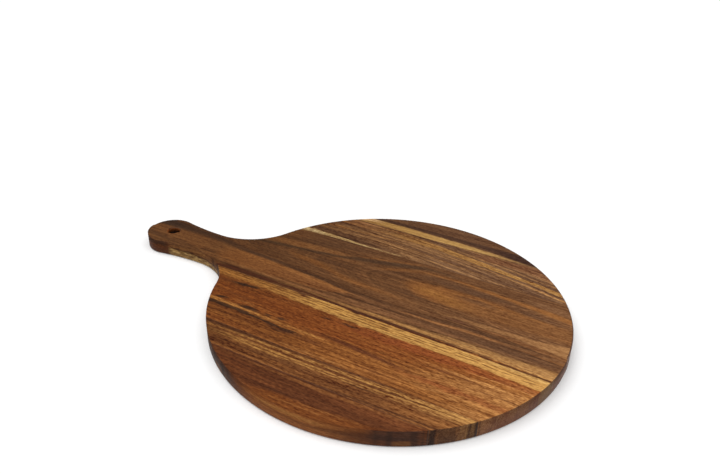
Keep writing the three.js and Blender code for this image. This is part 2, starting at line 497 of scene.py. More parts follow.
high_wall = maths(wood.tree, "MULTIPLY", wood.wall, smooth_step(wood.tree, wood.at["Z"], *HIGH_PART))
wood.wall_band("rim, pale patch", tone(112, 70, 36), (-138, 3.6, 75), only=low_wall, soft=1.6)
wood.wall_band("rim, dark stretch", tone(56, 41, 35), (-139.5, 8.5, 60), only=high_wall, soft=5)
for bar in ((-146.5, 0.5, 40), (-142.3, 0.9, 60), (-133.6, 1.4, 50), (-130, 0.4, 50)):
    wood.wall_band("rim, dark bar", RIM_BAR, bar, only=wood.wall)
wood.finish(left_edge)

# Striped stave
# A narrow stave of brown acacia heartwood with two pale stripes along it, planed square and glued on
# both sides. Like all the staves it is sawn to the disc's curve after the glue has cured.
striped = cut_stave("striped_stave", "striped_board")
wood = Wood("striped_acacia", 2, lines=0.11,
            dark=tone(81, 46, 23), middle=tone(108, 64, 32), light=tone(138, 87, 44))
PALE_STRIPE = tone(151, 103, 54)
GAP_BROWN = tone(98, 56, 30)
wood.streak("dark line on the joint", DARK_LINE, JOINT_LINE)
wood.streak("light line beside it", TAN_BROWN, [
    (95, -127.2, 0.5, 20), (60, -127.1, 0.8, 50), (25, -126.8, 0.8, 50), (-20, -125.2, 0.7, 30),
    (-45, -123.6, 0.8, 35), (-64, -123, 0.6, 0)])
wood.streak("light lower end", TAN_BROWN, [
    (-45, -121, 1.5, 0), (-65, -120, 4, 40), (-90, -119.6, 4.6, 45), (-115, -118, 4.4, 55)], soft=4)
wood.streak("dark top", DARK_LINE, [
    (112, -119.6, 3, 20), (75, -118.4, 2.5, 30), (42, -116.8, 2.4, 52), (5, -117, 2, 30),
    (-25, -117, 1.5, 0)], soft=4)
wood.streak("pale stripe", PALE_STRIPE, [
    (118, -113.6, 1.6, 25), (90, -113.2, 2.2, 55), (70, -113, 2.4, 85), (40, -112.8, 2.2, 90),
    (0, -112.2, 2, 85), (-30, -111.7, 2, 85), (-60, -111.4, 2.3, 80), (-90, -110.6, 2.6, 80),
    (-120, -110, 2.8, 75)])
wood.streak("thin line in it", GAP_BROWN, [
    (88, -113.4, 0.25, 0), (62, -113.2, 0.5, 75), (20, -112.8, 0.5, 75), (-20, -112, 0.5, 65),
    (-60, -111.4, 0.45, 50), (-100, -110.4, 0.4, 40)], soft=0.7, ragged=0.1)
wood.streak("dark dash", DARK_LINE, [
    (-8, -113.9, 0.3, 0), (-25, -114.2, 0.7, 55), (-40, -114, 0.8, 65), (-54, -113.6, 0.5, 0)], soft=1)
wood.streak("gap between the stripes", GAP_BROWN, [
    (105, -109.8, 0.4, 5), (70, -109.6, 0.6, 60), (30, -109, 0.7, 65), (0, -108.5, 0.7, 70),
    (-40, -107.8, 0.5, 50), (-62, -107.3, 0.4, 25), (-85, -106.8, 0.3, 0)], soft=1)
wood.streak("second pale stripe", PALE_STRIPE, [
    (115, -108, 1.4, 50), (90, -107.5, 1.2, 68), (70, -107.2, 1.2, 95), (30, -106.6, 1.2, 100),
    (0, -106, 1.1, 100), (-40, -105.5, 1.3, 90), (-80, -104.7, 1.8, 90), (-122, -104.6, 2.2, 100)])
EDGE_BAND = [
    (128, -105.6, 1.6, 60), (100, -105.3, 1.5, 70), (70, -104.8, 1.2, 60), (30, -104, 0.9, 50),
    (0, -103.4, 0.8, 45), (-40, -102.4, 0.8, 42), (-62, -101.4, 0.8, 38), (-90, -100.8, 0.6, 0)]
STRIPE_CORE = tone(166, 117, 61)
wood.streak("left bright line", STRIPE_CORE, [
    (105, -114.3, 0.3, 0), (75, -114.4, 0.5, 70), (30, -114, 0.5, 70), (-10, -113.3, 0.45, 50),
    (-45, -112.6, 0.4, 0)], soft=0.8)
wood.streak("middle bright line", STRIPE_CORE, [
    (100, -111.6, 0.3, 0), (60, -111.4, 0.5, 70), (0, -110.8, 0.5, 75), (-40, -110.2, 0.5, 75),
    (-80, -109, 0.6, 70), (-115, -108.2, 0.6, 60)], soft=0.8)
wood.streak("right bright line", STRIPE_CORE, [
    (100, -107.4, 0.4, 10), (70, -107.1, 0.6, 70), (30, -106.6, 0.6, 80), (0, -106.2, 0.6, 80),
    (-40, -106, 0.8, 80), (-80, -105.6, 1.2, 70), (-122, -105, 1.4, 50)], soft=1)
wood.streak("dark band on the joint", DARK_LINE, EDGE_BAND)
wood.end_grain(tone(88, 60, 43))
for bar in ((-126.3, 1.5, 90), (-119.2, 4.4, 50), (-105.6, 2.4, 40), (-107.6, 1, 40), (-103.2, 1, 80)):
    wood.wall_band("rim, dark bar", RIM_BAR, bar, only=wood.wall)
wood.finish(striped, veins=0.4, fibres=0.4)

# Red stave
# A wide stave of orange to red-brown acacia heartwood, with black flecks and a thick honey stripe of
# sapwood near its right side. It is planed square, glued on both sides, and sawn to the rim at both ends.
red = cut_stave("red_stave", "red_board")
wood = Wood("red_acacia", 3, bundles=0.09, lines=0.12,
            dark=tone(99, 54, 24), middle=tone(127, 75, 33), light=tone(156, 98, 47))
DEEP_RED = tone(121, 60, 22)
RICH_RED = tone(139, 71, 34)
PALE_ORANGE = tone(168, 113, 61)
SLANT_BROWN = tone(86, 44, 25)
BLACK_BROWN = tone(52, 33, 23)
HONEY = tone(190, 140, 74)
HONEY_BROWN = tone(104, 62, 28)
BRIGHT_HONEY = tone(186, 140, 78)
wood.streak("dark band on the joint", DARK_LINE, EDGE_BAND)
wood.streak("light upper corner", tone(146, 86, 40), [
    (128, -99, 4, 60), (100, -99.5, 3, 60), (75, -99.5, 2, 30), (60, -99.5, 1.5, 0)], soft=3)
wood.streak("light streak by the joint", PALE_ORANGE, [
    (65, -100, 0.6, 0), (40, -100, 1, 50), (0, -99.8, 1.1, 50), (-35, -99.4, 0.8, 0)], soft=2)
wood.streak("red heart", DEEP_RED, [
    (160, -60, 16, 55), (50, -60, 15, 62), (0, -60, 14, 62), (-60, -57, 11, 50), (-110, -54, 7, 35),
    (-155, -53, 5, 30)], soft=10, ragged=2.5)
wood.streak("deepest red", RICH_RED, [
    (40, -51, 3, 0), (-10, -51.3, 3.8, 58), (-60, -51.5, 4.2, 66), (-110, -51.6, 3.8, 55),
    (-133, -52, 3.4, 55), (-155, -52.6, 3.2, 50)], soft=5, ragged=1.5)
wood.streak("dark red middle", tone(104, 50, 22), [
    (20, -51, 2.5, 0), (-5, -51, 3, 36), (-28, -51, 3, 36), (-52, -51.3, 2, 0)], soft=4, ragged=1)
wood.streak("pale lower end", PALE_ORANGE, [
    (-40, -84, 8, 0), (-70, -81, 9.5, 32), (-100, -78, 13, 58), (-150, -74, 14, 70)], soft=9, ragged=2)
wood.streak("shade at the left", SLANT_BROWN, [
    (-8, -94, 1.5, 0), (-27, -94, 2.6, 30), (-44, -93.4, 2.6, 30), (-62, -93, 1.5, 0)], soft=4)
wood.streak("pale lower corner", PALE_ORANGE, [
    (-78, -98.5, 1.5, 0), (-100, -98.5, 2.8, 50), (-130, -98, 4, 75)], soft=4)
wood.streak("black line", BLACK_BROWN, [
    (150, -80.5, 2.4, 85), (130, -80.8, 2.3, 90), (110, -81.2, 2.2, 90), (90, -81.6, 2, 90),
    (70, -82.4, 1.5, 85), (55, -83.4, 1.7, 85), (45, -83.4, 1.6, 75), (33, -83.8, 0.8, 0)], ragged=0.5)
wood.streak("black flecks beside it", BLACK_BROWN, [
    (78, -86, 0.4, 0), (66, -86.2, 1, 65), (55, -86, 0.8, 55), (46, -85.5, 0.5, 0)], ragged=0.6)
wood.streak("smear below it", SLANT_BROWN, [
    (42, -85.3, 1.4, 30), (25, -85.8, 2, 50), (10, -86, 1.2, 0)], soft=2.5)
wood.streak("pale line", tone(180, 123, 64), [
    (150, -76.4, 2.3, 85), (130, -76.7, 2, 80), (110, -77, 1.6, 72), (90, -77.5, 1.3, 70),
    (70, -78, 1.3, 70), (53, -77.9, 1, 42), (35, -78.4, 1.2, 72), (22, -78.4, 0.8, 50),
    (12, -78.5, 0.6, 0)])
wood.streak("fleck", BLACK_BROWN, [
    (118, -74.4, 0.4, 0), (107, -74, 1.9, 78), (96, -74, 2.4, 85), (89, -74.2, 1.2, 50),
    (82, -74.4, 0.4, 0)], ragged=0.5)
wood.streak("high fleck", BLACK_BROWN, [
    (140, -72.8, 0.6, 0), (134, -72.2, 1.5, 85), (128, -71, 1.5, 85), (121, -70.4, 0.6, 0)], ragged=0.3)
wood.streak("low fleck", BLACK_BROWN, [
    (86, -74, 0.6, 0), (79, -74, 1.7, 75), (73, -73.4, 1, 25), (66, -72.4, 2, 80),
    (57, -71.4, 0.6, 0)], ragged=0.5)
wood.streak("fleck by the honey", BLACK_BROWN, [
    (152, -47, 1, 30), (140, -46, 1.2, 50), (131, -45.4, 1.8, 90), (121, -44.6, 1.7, 90),
    (112, -43.4, 1.3, 70), (104, -42.2, 0.5, 0)], ragged=0.3)
wood.streak("olive line by the honey", tone(92, 55, 27), [
    (152, -50, 1.2, 30), (122, -49, 1.6, 28), (90, -48.4, 1.8, 16), (64, -47.8, 1.6, 4),
    (44, -47.4, 1, 0)], soft=2.4)
wood.streak("orange beside the honey", tone(150, 89, 44), [
    (92, -47.4, 1, 0), (73, -47.6, 1.8, 42), (52, -47.6, 1, 0)], soft=2.4)
wood.streak("dark red line", SLANT_BROWN, [
    (148, -62, 0.8, 50), (130, -61.6, 0.9, 40), (106, -62.8, 1.4, 40), (86, -62, 0.8, 0)])
wood.streak("second dark red line", SLANT_BROWN, [
    (128, -55, 0.5, 0), (112, -54.6, 0.8, 45), (92, -54, 0.8, 40), (70, -53.6, 0.5, 0)])
wood.streak("orange line beside the flecks", PALE_ORANGE, [
    (122, -68, 0.4, 0), (108, -68, 0.9, 45), (90, -68.2, 0.9, 28), (74, -69, 0.7, 20), (56, -69.4, 0.4, 0)])
wood.streak("dark line at the left", SLANT_BROWN, [
    (124, -92, 0.8, 30), (100, -91.8, 0.9, 38), (72, -91.2, 0.8, 28), (48, -90.4, 0.5, 0)])
wood.streak("two dark spots", BLACK_BROWN, [
    (41, -51, 0.5, 0), (33, -50.8, 1.4, 75), (25, -50.5, 0.6, 15), (15, -50.3, 1.2, 65),
    (6, -50.2, 1.2, 65), (-4, -50, 0.5, 0)], ragged=0.4)
wood.streak("slanting line", SLANT_BROWN, [
    (48, -74, 1, 0), (35, -74, 1.6, 40), (15, -73.8, 2, 65), (0, -74.8, 2.2, 80), (-20, -76.4, 2.1, 80),
    (-40, -78.6, 1.8, 65), (-60, -80.2, 1.3, 50), (-90, -81.6, 1.2, 40), (-130, -82.8, 0.9, 25)], soft=2.4)
wood.streak("red beside it", RICH_RED, [
    (-40, -83, 2, 0), (-70, -82, 3, 50), (-110, -82.5, 3, 50), (-140, -83, 2.5, 40)], soft=3, ragged=1)
wood.streak("dark lower line", SLANT_BROWN, [
    (-48, -66.2, 0.6, 0), (-70, -65.5, 1, 60), (-100, -65.8, 1, 60), (-122, -66.5, 0.6, 0)])
wood.streak("pale lower line", PALE_ORANGE, [
    (-50, -62.4, 0.8, 10), (-90, -62.8, 1.2, 65), (-120, -63.5, 1.4, 80), (-150, -64.5, 1.3, 90)])
wood.streak("pale wood low in the red", PALE_ORANGE, [
    (-116, -53, 1, 0), (-133, -53, 1.6, 30), (-154, -53.4, 1.6, 30)], soft=3)
wood.streak("thin pale lower line", PALE_ORANGE, [
    (-90, -56.6, 0.4, 0), (-115, -56.2, 0.6, 60), (-150, -57, 0.6, 60)], soft=0.9)
wood.streak("left pale lower line", PALE_ORANGE, [
    (-85, -75.6, 0.4, 0), (-105, -75.4, 0.7, 60), (-140, -76, 0.7, 60)], soft=0.9)
wood.streak("thin dark lower line", SLANT_BROWN, [
    (-100, -72.8, 0.3, 0), (-120, -72.6, 0.5, 60), (-145, -73.2, 0.5, 60)], soft=0.9)
wood.streak("honey", HONEY, [
    (174, -36, 4.6, 24), (150, -35.8, 4.8, 26), (110, -35.2, 5, 36), (86, -35.7, 5.5, 54), (73, -36, 6, 66),
    (58, -36.6, 6.8, 95), (30, -37.2, 6.2, 100), (10, -38.4, 6.1, 100), (-10, -39.2, 6.6, 100),
    (-60, -40, 6.5, 92), (-110, -41, 6.6, 80), (-160, -42.6, 6.8, 80)], ragged=0.45, closed=0.4)
LINE_BREAKS = (-1.9, -0.4)
broken = smooth_step(wood.tree, wood.fibres["Strands"], *LINE_BREAKS)
for points in (
        [(172, -38.4, 0.5, 50), (100, -38.4, 0.5, 70), (40, -39.6, 0.55, 80), (0, -41, 0.55, 80),
         (-60, -41.6, 0.5, 75), (-115, -42.6, 0.5, 75), (-158, -44, 0.5, 70)],
        [(172, -35, 0.5, 50), (90, -35.4, 0.5, 70), (30, -36.8, 0.55, 80), (-20, -38.4, 0.55, 75),
         (-75, -38.8, 0.5, 70), (-130, -40, 0.5, 70)],
        [(150, -32.2, 0.4, 40), (90, -32.8, 0.5, 65), (30, -34.2, 0.5, 75), (-20, -35.6, 0.5, 75),
         (-75, -36.4, 0.45, 60), (-130, -38, 0.35, 30)],
        [(75, -41.4, 0.3, 0), (45, -42, 0.4, 55), (0, -43.6, 0.45, 60), (-50, -44, 0.4, 50),
         (-95, -44.8, 0.3, 0)]):
    wood.streak("brown line in the honey", HONEY_BROWN, points, soft=0.7, ragged=0.3, only=broken)
wood.streak("bright side of the honey", BRIGHT_HONEY, [
    (-80, -35.3, 1, 0), (-110, -36.2, 1.6, 70), (-143, -36.4, 2, 90), (-160, -37.2, 2, 90)], soft=1.4)
wood.streak("bright edge of the honey", BRIGHT_HONEY, [
    (60, -42.2, 0.8, 10), (20, -43.4, 1.2, 45), (-30, -45, 1.2, 35), (-70, -45.8, 1, 0)], soft=1.4)
wood.streak("patches on the honey", SLANT_BROWN, [
    (101, -32.6, 0.6, 0), (94, -32.2, 1.8, 60), (86, -32, 0.8, 15), (79, -31.4, 1.1, 30),
    (72, -31.6, 2.2, 85), (66, -33, 2, 75), (58, -33, 0.6, 0)], ragged=0.5)
wood.streak("pale wood by the joint", tone(166, 118, 66), [
    (-60, -30.4, 0.4, 0), (-85, -30.6, 0.9, 80), (-120, -31, 1.4, 85), (-162, -32, 2.2, 85)], soft=1.2)
SEAM_BROWN = tone(70, 34, 19)
SEAM = [
    (182, -31, 0.8, 92), (174, -29.8, 1.8, 92), (162, -28, 2.9, 92), (146, -27.7, 3, 92),
    (128, -28.2, 2.8, 92), (100, -28.1, 1.6, 92), (60, -27.2, 1.2, 92), (45, -27.7, 1.3, 92),
    (30, -29, 1.6, 92), (18, -30.4, 2.3, 95), (8, -30.5, 2.2, 95), (-5, -30.4, 1.9, 92),
    (-38, -31.6, 2.4, 90), (-62, -32, 1.5, 90), (-100, -32.9, 1.2, 90), (-140, -34.3, 1.2, 90),
    (-162, -35, 1.1, 90)]
wood.streak("dark seam", SEAM_BROWN, SEAM, soft=1.4, ragged=0.45)
wood.end_grain(tone(98, 67, 54))
LOW_HALF = (9.0, 4.0)
low_wall = maths(wood.tree, "MULTIPLY", wood.ends, smooth_step(wood.tree, wood.at["Z"], *LOW_HALF))
wood.wall_band("rim, reddish patch", tone(104, 62, 42), (-80, 10, 60), only=low_wall, soft=8)
wood.wall_band("rim, dark bar", RIM_BAR, (-101.6, 0.7, 80), only=wood.ends, soft=1)
wood.wall_band("rim, under the honey", tone(112, 84, 58), (-40, 8, 75), only=wood.ends, soft=6)
wood.finish(red, fibres=0.37, pores=0.14)

# Handle stave
# The widest stave, of flat-sawn acacia, glued on both sides and running the whole length of the board.
# It is sawn and sanded to the handle's outline, drilled for hanging, and shows the arched figure of
# growth rings cut nearly along their own surface.
handle = cut_stave("handle_stave", "handle_board")
wood = Wood("handle_acacia", 4, lean=0.4, wander=0.5, bands=0.05, bundles=0.04, lines=0.08,
            dark=tone(80, 51, 31), middle=tone(101, 65, 38), light=tone(124, 81, 47))
RING_AXIS = 31.0        # line that the arches stand on
RING_CURVE = 0.085      # how fast they fall away on both sides of it
RING_WAVER = 1.5
RING_SIZES = ((38.0, 0.05), (13.0, 0.03), (5.0, 0.06), (2.6, 0.06))
STRAIGHT_WEIGHTS = (("Lines", 0.07), ("Strands", 0.06), ("Bundles", 0.10))
RING_SIDE = (-6.0, 12.0)        # straight grain left of this stretch, arches right of it
tree = wood.tree
aside = maths(tree, "SUBTRACT", wood.grain["Across"], RING_AXIS)
fall = maths(tree, "MULTIPLY", maths(tree, "MULTIPLY", aside, aside), RING_CURVE)
tip = maths(tree, "ADD", wood.grain["Along"], fall)
tip = maths(tree, "MULTIPLY_ADD", wood.fibres["Bands"], RING_WAVER, tip)
ring_place = add_node(tree, "CombineXYZ", {0: tip}).outputs[0]
rings = 1.0
for size, weight in RING_SIZES:
    rings = maths(tree, "MULTIPLY_ADD", stretched_noise(tree, ring_place, (size, 1, 1)), weight, rings)
straight = 1.0
for texture, weight in STRAIGHT_WEIGHTS:
    straight = maths(tree, "MULTIPLY_ADD", wood.fibres[texture], weight, straight)
inside = smooth_step(tree, wood.grain["Across"], *RING_SIDE)
figure = add_node(tree, "Mix", {0: inside, 2: straight, 3: rings}, data_type="FLOAT").outputs[0]
wood.colour = scaled(tree, wood.colour, figure)

TAN = tone(132, 83, 45)
BRIGHT_TAN = tone(150, 98, 53)
HANDLE_ORANGE = tone(137, 85, 40)
HANDLE_DARK = tone(74, 48, 33)
SHADE_BROWN = tone(86, 57, 38)
wood.streak("dark field beside the seam", SHADE_BROWN, [
    (70, -20, 3, 0), (49, -19, 4, 28), (20, -16, 5, 32), (-30, -17, 5, 35), (-60, -16.6, 4.2, 50),
    (-100, -15.8, 4.6, 60), (-130, -16, 5, 50), (-160, -15, 5, 35)], soft=7)
wood.streak("pale stripe", tone(166, 118, 66), [
    (112, -24, 0.8, 0), (92, -24, 1.3, 38), (72, -24.4, 1.2, 32), (40, -25.6, 1.2, 55), (0, -26, 1.6, 80),
    (-40, -26.5, 2, 85), (-80, -26.8, 3.5, 82), (-120, -27.8, 3.9, 80), (-162, -27.4, 4.8, 80)], soft=3)
wood.streak("brown line in it", HANDLE_DARK, [
    (-20, -23.4, 0.4, 0), (-50, -24.6, 0.6, 40), (-90, -25.4, 0.6, 40), (-130, -26.4, 0.6, 30),
    (-160, -27, 0.6, 20)], soft=1.4)
wood.streak("tongue", TAN, [
    (192, -7, 8, 0), (178, -7, 10, 60), (165, -7, 11, 80), (140, -8.4, 11.4, 80), (115, -9, 10.6, 80),
    (90, -9.6, 8.6, 80), (60, -10.4, 6.4, 75), (45, -9, 3, 80), (38, -8, 1, 60),
    (28, -8.5, 0.8, 0)], soft=3)
wood.streak("bright side of the tongue", BRIGHT_TAN, [
    (172, 0, 2, 10), (140, -0.5, 2.4, 40), (110, -1.5, 2.4, 55), (85, -3.8, 2.4, 70), (60, -6, 2, 85),
    (42, -8.3, 1.3, 90), (34, -8.6, 0.8, 0)], soft=3)
wood.streak("dark line right of the tongue", HANDLE_DARK, [
    (190, 10, 3, 50), (178, 8.6, 2.6, 60), (160, 6.8, 2.8, 85), (120, 4, 2.4, 75), (90, 1.5, 1.7, 65),
    (55, -2.5, 1.5, 55), (40, -4.5, 1.7, 45), (20, -5.4, 2, 40), (0, -6.4, 2, 35),
    (-25, -7, 1.5, 0)], soft=3)
wood.streak("shade under the neck", SHADE_BROWN, [
    (190, 18, 12, 20), (130, 18, 11, 20), (90, 12, 6, 32), (72, 10.5, 4, 28), (55, 10, 3, 0)], soft=8)
wood.streak("orange diagonal", HANDLE_ORANGE, [
    (132, 27, 2.2, 0), (112, 23.5, 3, 40), (95, 21.5, 3.2, 50), (75, 17.5, 3, 45), (60, 13, 2.6, 45),
    (45, 10, 2.6, 55), (30, 9, 2.8, 50), (10, 8, 2.8, 30), (-15, 6.5, 2.2, 15), (-35, 6, 2, 0)], soft=5)
wood.streak("dark wedge", HANDLE_DARK, [
    (104, 28.8, 0.8, 0), (88, 29.2, 1.8, 50), (75, 29.6, 2.2, 45), (60, 29.5, 3, 25),
    (32, 30, 3, 0)], soft=4)
wood.streak("dark flank", tone(76, 53, 35), [
    (180, 29, 4, 60), (155, 33.4, 4, 85), (130, 35.8, 3.2, 85), (100, 39, 2.6, 85), (80, 42.6, 2.2, 75),
    (65, 46.8, 2.7, 75), (50, 50.8, 3.2, 80), (35, 54.4, 3.4, 80), (20, 58.8, 3.2, 85), (0, 63.8, 3.2, 80),
    (-14, 66.6, 2, 50), (-34, 66, 2, 35), (-54, 65, 1.4, 0)], soft=3.6)
wood.streak("core of the flank", HANDLE_DARK, [
    (150, 34, 0.8, 0), (125, 36, 1, 50), (90, 40.6, 0.9, 55), (65, 46.4, 0.9, 40), (40, 53, 1.1, 50),
    (15, 60, 1.1, 55), (-5, 65.4, 0.8, 0)], soft=1.6)
wood.streak("light band beside it", tone(136, 90, 51), [
    (165, 38.6, 4.4, 60), (148, 40.4, 4.8, 66), (119, 43.4, 4.8, 70), (95, 46, 3.4, 65),
    (78, 47.8, 2.4, 60), (62, 50, 1.4, 0)], soft=4.5)
wood.streak("shade right of the flank", SHADE_BROWN, [
    (155, 62, 12, 0), (134, 62, 11, 15), (110, 62, 11, 50), (78, 67, 9, 55), (50, 69, 6, 28),
    (30, 70, 4, 0)], soft=9)
wood.streak("thin light line beyond the flank", HANDLE_ORANGE, [
    (64, 53, 0.8, 0), (50, 56.4, 1.3, 40), (25, 62.6, 1.1, 32), (8, 67, 1.1, 35),
    (-4, 69.5, 0.8, 0)], soft=2.5)
wood.streak("shade inside the flank", SHADE_BROWN, [
    (62, 41, 2, 0), (38, 42, 3, 28), (15, 42, 3, 28), (-2, 44, 2, 0)], soft=5)
wood.streak("orange limb", HANDLE_ORANGE, [
    (44, 42, 2, 0), (35, 43.6, 2, 15), (25, 47, 2.4, 38), (12, 53, 2.4, 35), (0, 57.2, 2.2, 30),
    (-10, 59.6, 1.7, 42), (-40, 61.3, 1.6, 60), (-60, 59.3, 1.7, 70), (-80, 57.3, 1.9, 80),
    (-100, 55, 2.2, 75), (-130, 51.5, 3, 75), (-160, 48.3, 3.4, 70)], soft=3.2)
wood.streak("dark field", SHADE_BROWN, [
    (2, 54, 2, 0), (-15, 54, 3.4, 45), (-40, 53.3, 4, 55), (-65, 51.4, 4, 70), (-80, 51.3, 3.4, 55),
    (-98, 49.5, 2.6, 25), (-112, 47.5, 2, 0)], soft=5)
wood.streak("eye", HANDLE_ORANGE, [
    (8, 35, 3, 0), (-2, 35.5, 6, 35), (-10, 34.5, 9, 60), (-25, 32.5, 11, 75), (-45, 31.5, 12, 65),
    (-70, 29, 11, 45), (-100, 28, 10, 40), (-155, 27, 10, 35)], soft=9, ragged=0.8)
wood.streak("bright eye", tone(154, 103, 48), [
    (-6, 33, 2, 0), (-20, 32, 3.5, 35), (-32, 31, 4.5, 32), (-50, 27, 5, 28), (-80, 25, 5, 0)], soft=7)
wood.streak("shade on the eye", SHADE_BROWN, [
    (10, 20, 2, 0), (-6, 21, 3, 30), (-16, 18, 2.4, 25), (-34, 15, 2, 0)], soft=6)
wood.streak("right limb of the eye", HANDLE_ORANGE, [
    (-8, 42, 1.2, 0), (-25, 43.5, 1.8, 50), (-60, 44, 2, 60), (-75, 43, 2.2, 60), (-95, 39.5, 2.6, 55),
    (-130, 36.5, 2.2, 30), (-158, 35, 2, 0)], soft=4)
wood.streak("upper shade in the eye", SHADE_BROWN, [
    (-44, 38.6, 1.5, 0), (-60, 38, 2.2, 45), (-76, 36.8, 2.2, 45), (-92, 35.5, 1.5, 0)], soft=4)
wood.streak("lower shade in the eye", SHADE_BROWN, [
    (-92, 44.6, 1, 0), (-110, 43.5, 2.4, 50), (-128, 41.5, 2.6, 50), (-152, 39.5, 2, 10)], soft=4)
wood.streak("orange line", tone(150, 98, 54), [
    (-8, -10.5, 0.8, 0), (-30, -10.3, 1, 55), (-50, -9.8, 1.4, 70), (-70, -9, 1.5, 65),
    (-100, -8.5, 1.4, 65), (-115, -9.5, 0.8, 30), (-158, -11, 1.4, 50)], soft=2)
wood.streak("dark beside it", HANDLE_DARK, [
    (-12, -7.6, 0.8, 10), (-30, -7.6, 1.7, 60), (-60, -6, 1.6, 45), (-85, -5.5, 2, 40),
    (-110, -5.8, 1.6, 22), (-128, -6.2, 1, 0)], soft=3)
wood.streak("reddish shade", tone(96, 58, 42), [
    (-50, 1.5, 1.2, 0), (-65, 1.5, 1.8, 40), (-77, 1, 1.2, 12), (-86, 1, 0.8, 0)], soft=2)
wood.streak("pale streak", tone(154, 107, 63), [
    (-36, 6, 0.8, 0), (-48, 5.2, 1.3, 35), (-65, 6.2, 1.4, 42), (-85, 5.8, 2.1, 58), (-112, 6.6, 2.9, 70),
    (-130, 6, 4, 72), (-148, 5.4, 6.2, 74), (-160, 5.6, 8.5, 75)], soft=2.4)
wood.streak("tan beside the pale streak", TAN, [
    (-78, 1, 0.6, 0), (-90, 1, 1.4, 50), (-106, 0.8, 1.5, 50), (-122, -0.8, 2, 50), (-142, -2.8, 2.4, 50),
    (-159, -4, 2.4, 40)], soft=2.4)
wood.streak("light low end beside the limb", tone(126, 86, 54), [
    (-100, 63, 2, 0), (-123, 61, 4, 50), (-148, 58, 4, 50)], soft=5)
wood.streak("light side of the grip", tone(130, 88, 54), [
    (284, -17, 2, 20), (260, -18, 2.2, 45), (240, -18.4, 2.2, 50), (215, -18.4, 2, 50), (190, -18, 2, 35),
    (172, -18, 2, 0)], soft=3)
wood.streak("dark line on the grip", SHADE_BROWN, [
    (284, -13, 1.5, 55), (250, -14, 1.6, 50), (234, -13.6, 1.5, 30), (220, -13.4, 1.2, 0),
    (180, -13.5, 1, 0)], soft=3)
wood.streak("golden middle of the grip", tone(132, 87, 51), [
    (284, 0, 7, 35), (254, -1.6, 8.6, 55), (228, -2, 8, 55), (212, -4, 10, 55), (200, -2.5, 8.5, 42),
    (186, -2, 7, 30), (172, -4, 7, 0)], soft=6)
wood.streak("dark band on the grip", tone(62, 42, 31), [
    (284, 12, 6.6, 95), (262, 12.2, 5.8, 90), (230, 12.5, 4.4, 64), (210, 12.5, 3.6, 58), (190, 12, 3, 54),
    (178, 10, 2.4, 30), (166, 9, 2, 0)], soft=5)
wood.streak("reddish edge of the grip", tone(78, 50, 36), [
    (284, 22, 2.5, 40), (240, 21.5, 2.5, 50), (200, 19, 2, 45), (178, 22, 2, 20), (160, 26, 2, 0)], soft=4)
wood.streak("dark seam", SEAM_BROWN, SEAM, soft=1.4, ragged=0.45)
wood.streak("sapwood at the right joint", tone(172, 140, 98), [
    (162, 74.8, 2.8, 85), (140, 74.8, 2.2, 85), (118, 74.8, 1.4, 70), (98, 74.8, 0.4, 0)], soft=1.2)
SAPWOOD = tone(196, 161, 109)
SAPWOOD_SHADE = tone(148, 115, 73)
CAP_RED = tone(98, 56, 33)
CAP_DARK = tone(70, 46, 35)
RAW_WOOD = tone(150, 86, 45)
BORE_PAINTED_SHADE = tone(44, 24, 15)
SAP_SINKS = {"From Min": 240.0, "From Max": 172.0, "To Max": 2.8}   # from the grip's end to the neck
SIDE_WAVER = 0.5
SAP_TOP = (9.2, 7.8)            # heights on the grip's wall where each part of it begins and is full
DARK_LINE_TOP = (10.4, 9.4)
UPPER_SIDE = (8.2, 10.4)
UNDER_EDGE = (14.9, 14.3)
SAP_SHADES = (-1.0, 1.0)
wood.end_grain()
sinking = add_node(tree, "MapRange", {"Value": wood.at["Y"], **SAP_SINKS}).outputs[0]
height = maths(tree, "MULTIPLY_ADD", wood.fibres["Strands"], SIDE_WAVER, wood.at["Z"])
sap_height = maths(tree, "ADD", height, sinking)
low_side = smooth_step(tree, sap_height, *SAP_TOP)
upper_side = smooth_step(tree, height, *UPPER_SIDE)
edge_side = smooth_step(tree, wood.at["Z"], *UNDER_EDGE)
sap_share = smooth_step(tree, wood.fibres["Strands"], *SAP_SHADES)
sap = mix_colours(tree, sap_share, SAPWOOD_SHADE, SAPWOOD)
wood.streak("reddish side of the cap", CAP_RED, [
    (290, -34, 32, 90), (241, -34, 22, 90), (239.5, -34, 22, 0)], only=edge_side)
wood.streak("dark upper side of the cap", CAP_DARK, [
    (290, -34, 32, 80), (246, -34, 22, 80),
    (240, -34, 22, 0)], only=maths(tree, "MULTIPLY", upper_side, edge_side))
wood.streak("dark line above the sapwood", CAP_DARK, [
    (240, -30, 20, 0), (236, -30, 20, 70), (205, -30, 20, 60), (172, -32, 20, 50),
    (168, -32, 20, 0)], only=smooth_step(tree, sap_height, *DARK_LINE_TOP))
wood.streak("sapwood on the near side", sap, [
    (240.5, -30, 20, 0), (239.5, -30, 20, 90), (210, -30, 20, 92), (190, -30, 20, 78), (173, -32, 20, 65),
    (169, -32, 20, 0)], only=low_side)
# end grain, partly painted shade: the neck's wall beside the joint is painted dark where it faces away from
# the light
wood.streak("painted shade on end grain beside the joint", RIM_BAR, [
    (174, -30, 10, 0), (170, -30, 10, 70), (164, -30, 10, 70), (160, -30, 10, 0)], only=edge_side)
HOLE_CENTRE = (0, (HANDLE_END - HOLE_FROM_END) * MM, 0)
BORE_WALL = (6.8, 6.6)          # distances from the hole's centre where its raw wall begins and is full
BORE_LIGHT = (9.0, 14.2)        # heights between which the painted shade deep in the hole gives way to its raw wall
above = add_node(tree, "CombineXYZ", {0: wood.at["X"], 1: wood.at["Y"]}).outputs[0]
out = add_node(tree, "VectorMath", {0: above, 1: HOLE_CENTRE}, operation="DISTANCE").outputs["Value"]
bored = smooth_step(tree, out, *BORE_WALL)
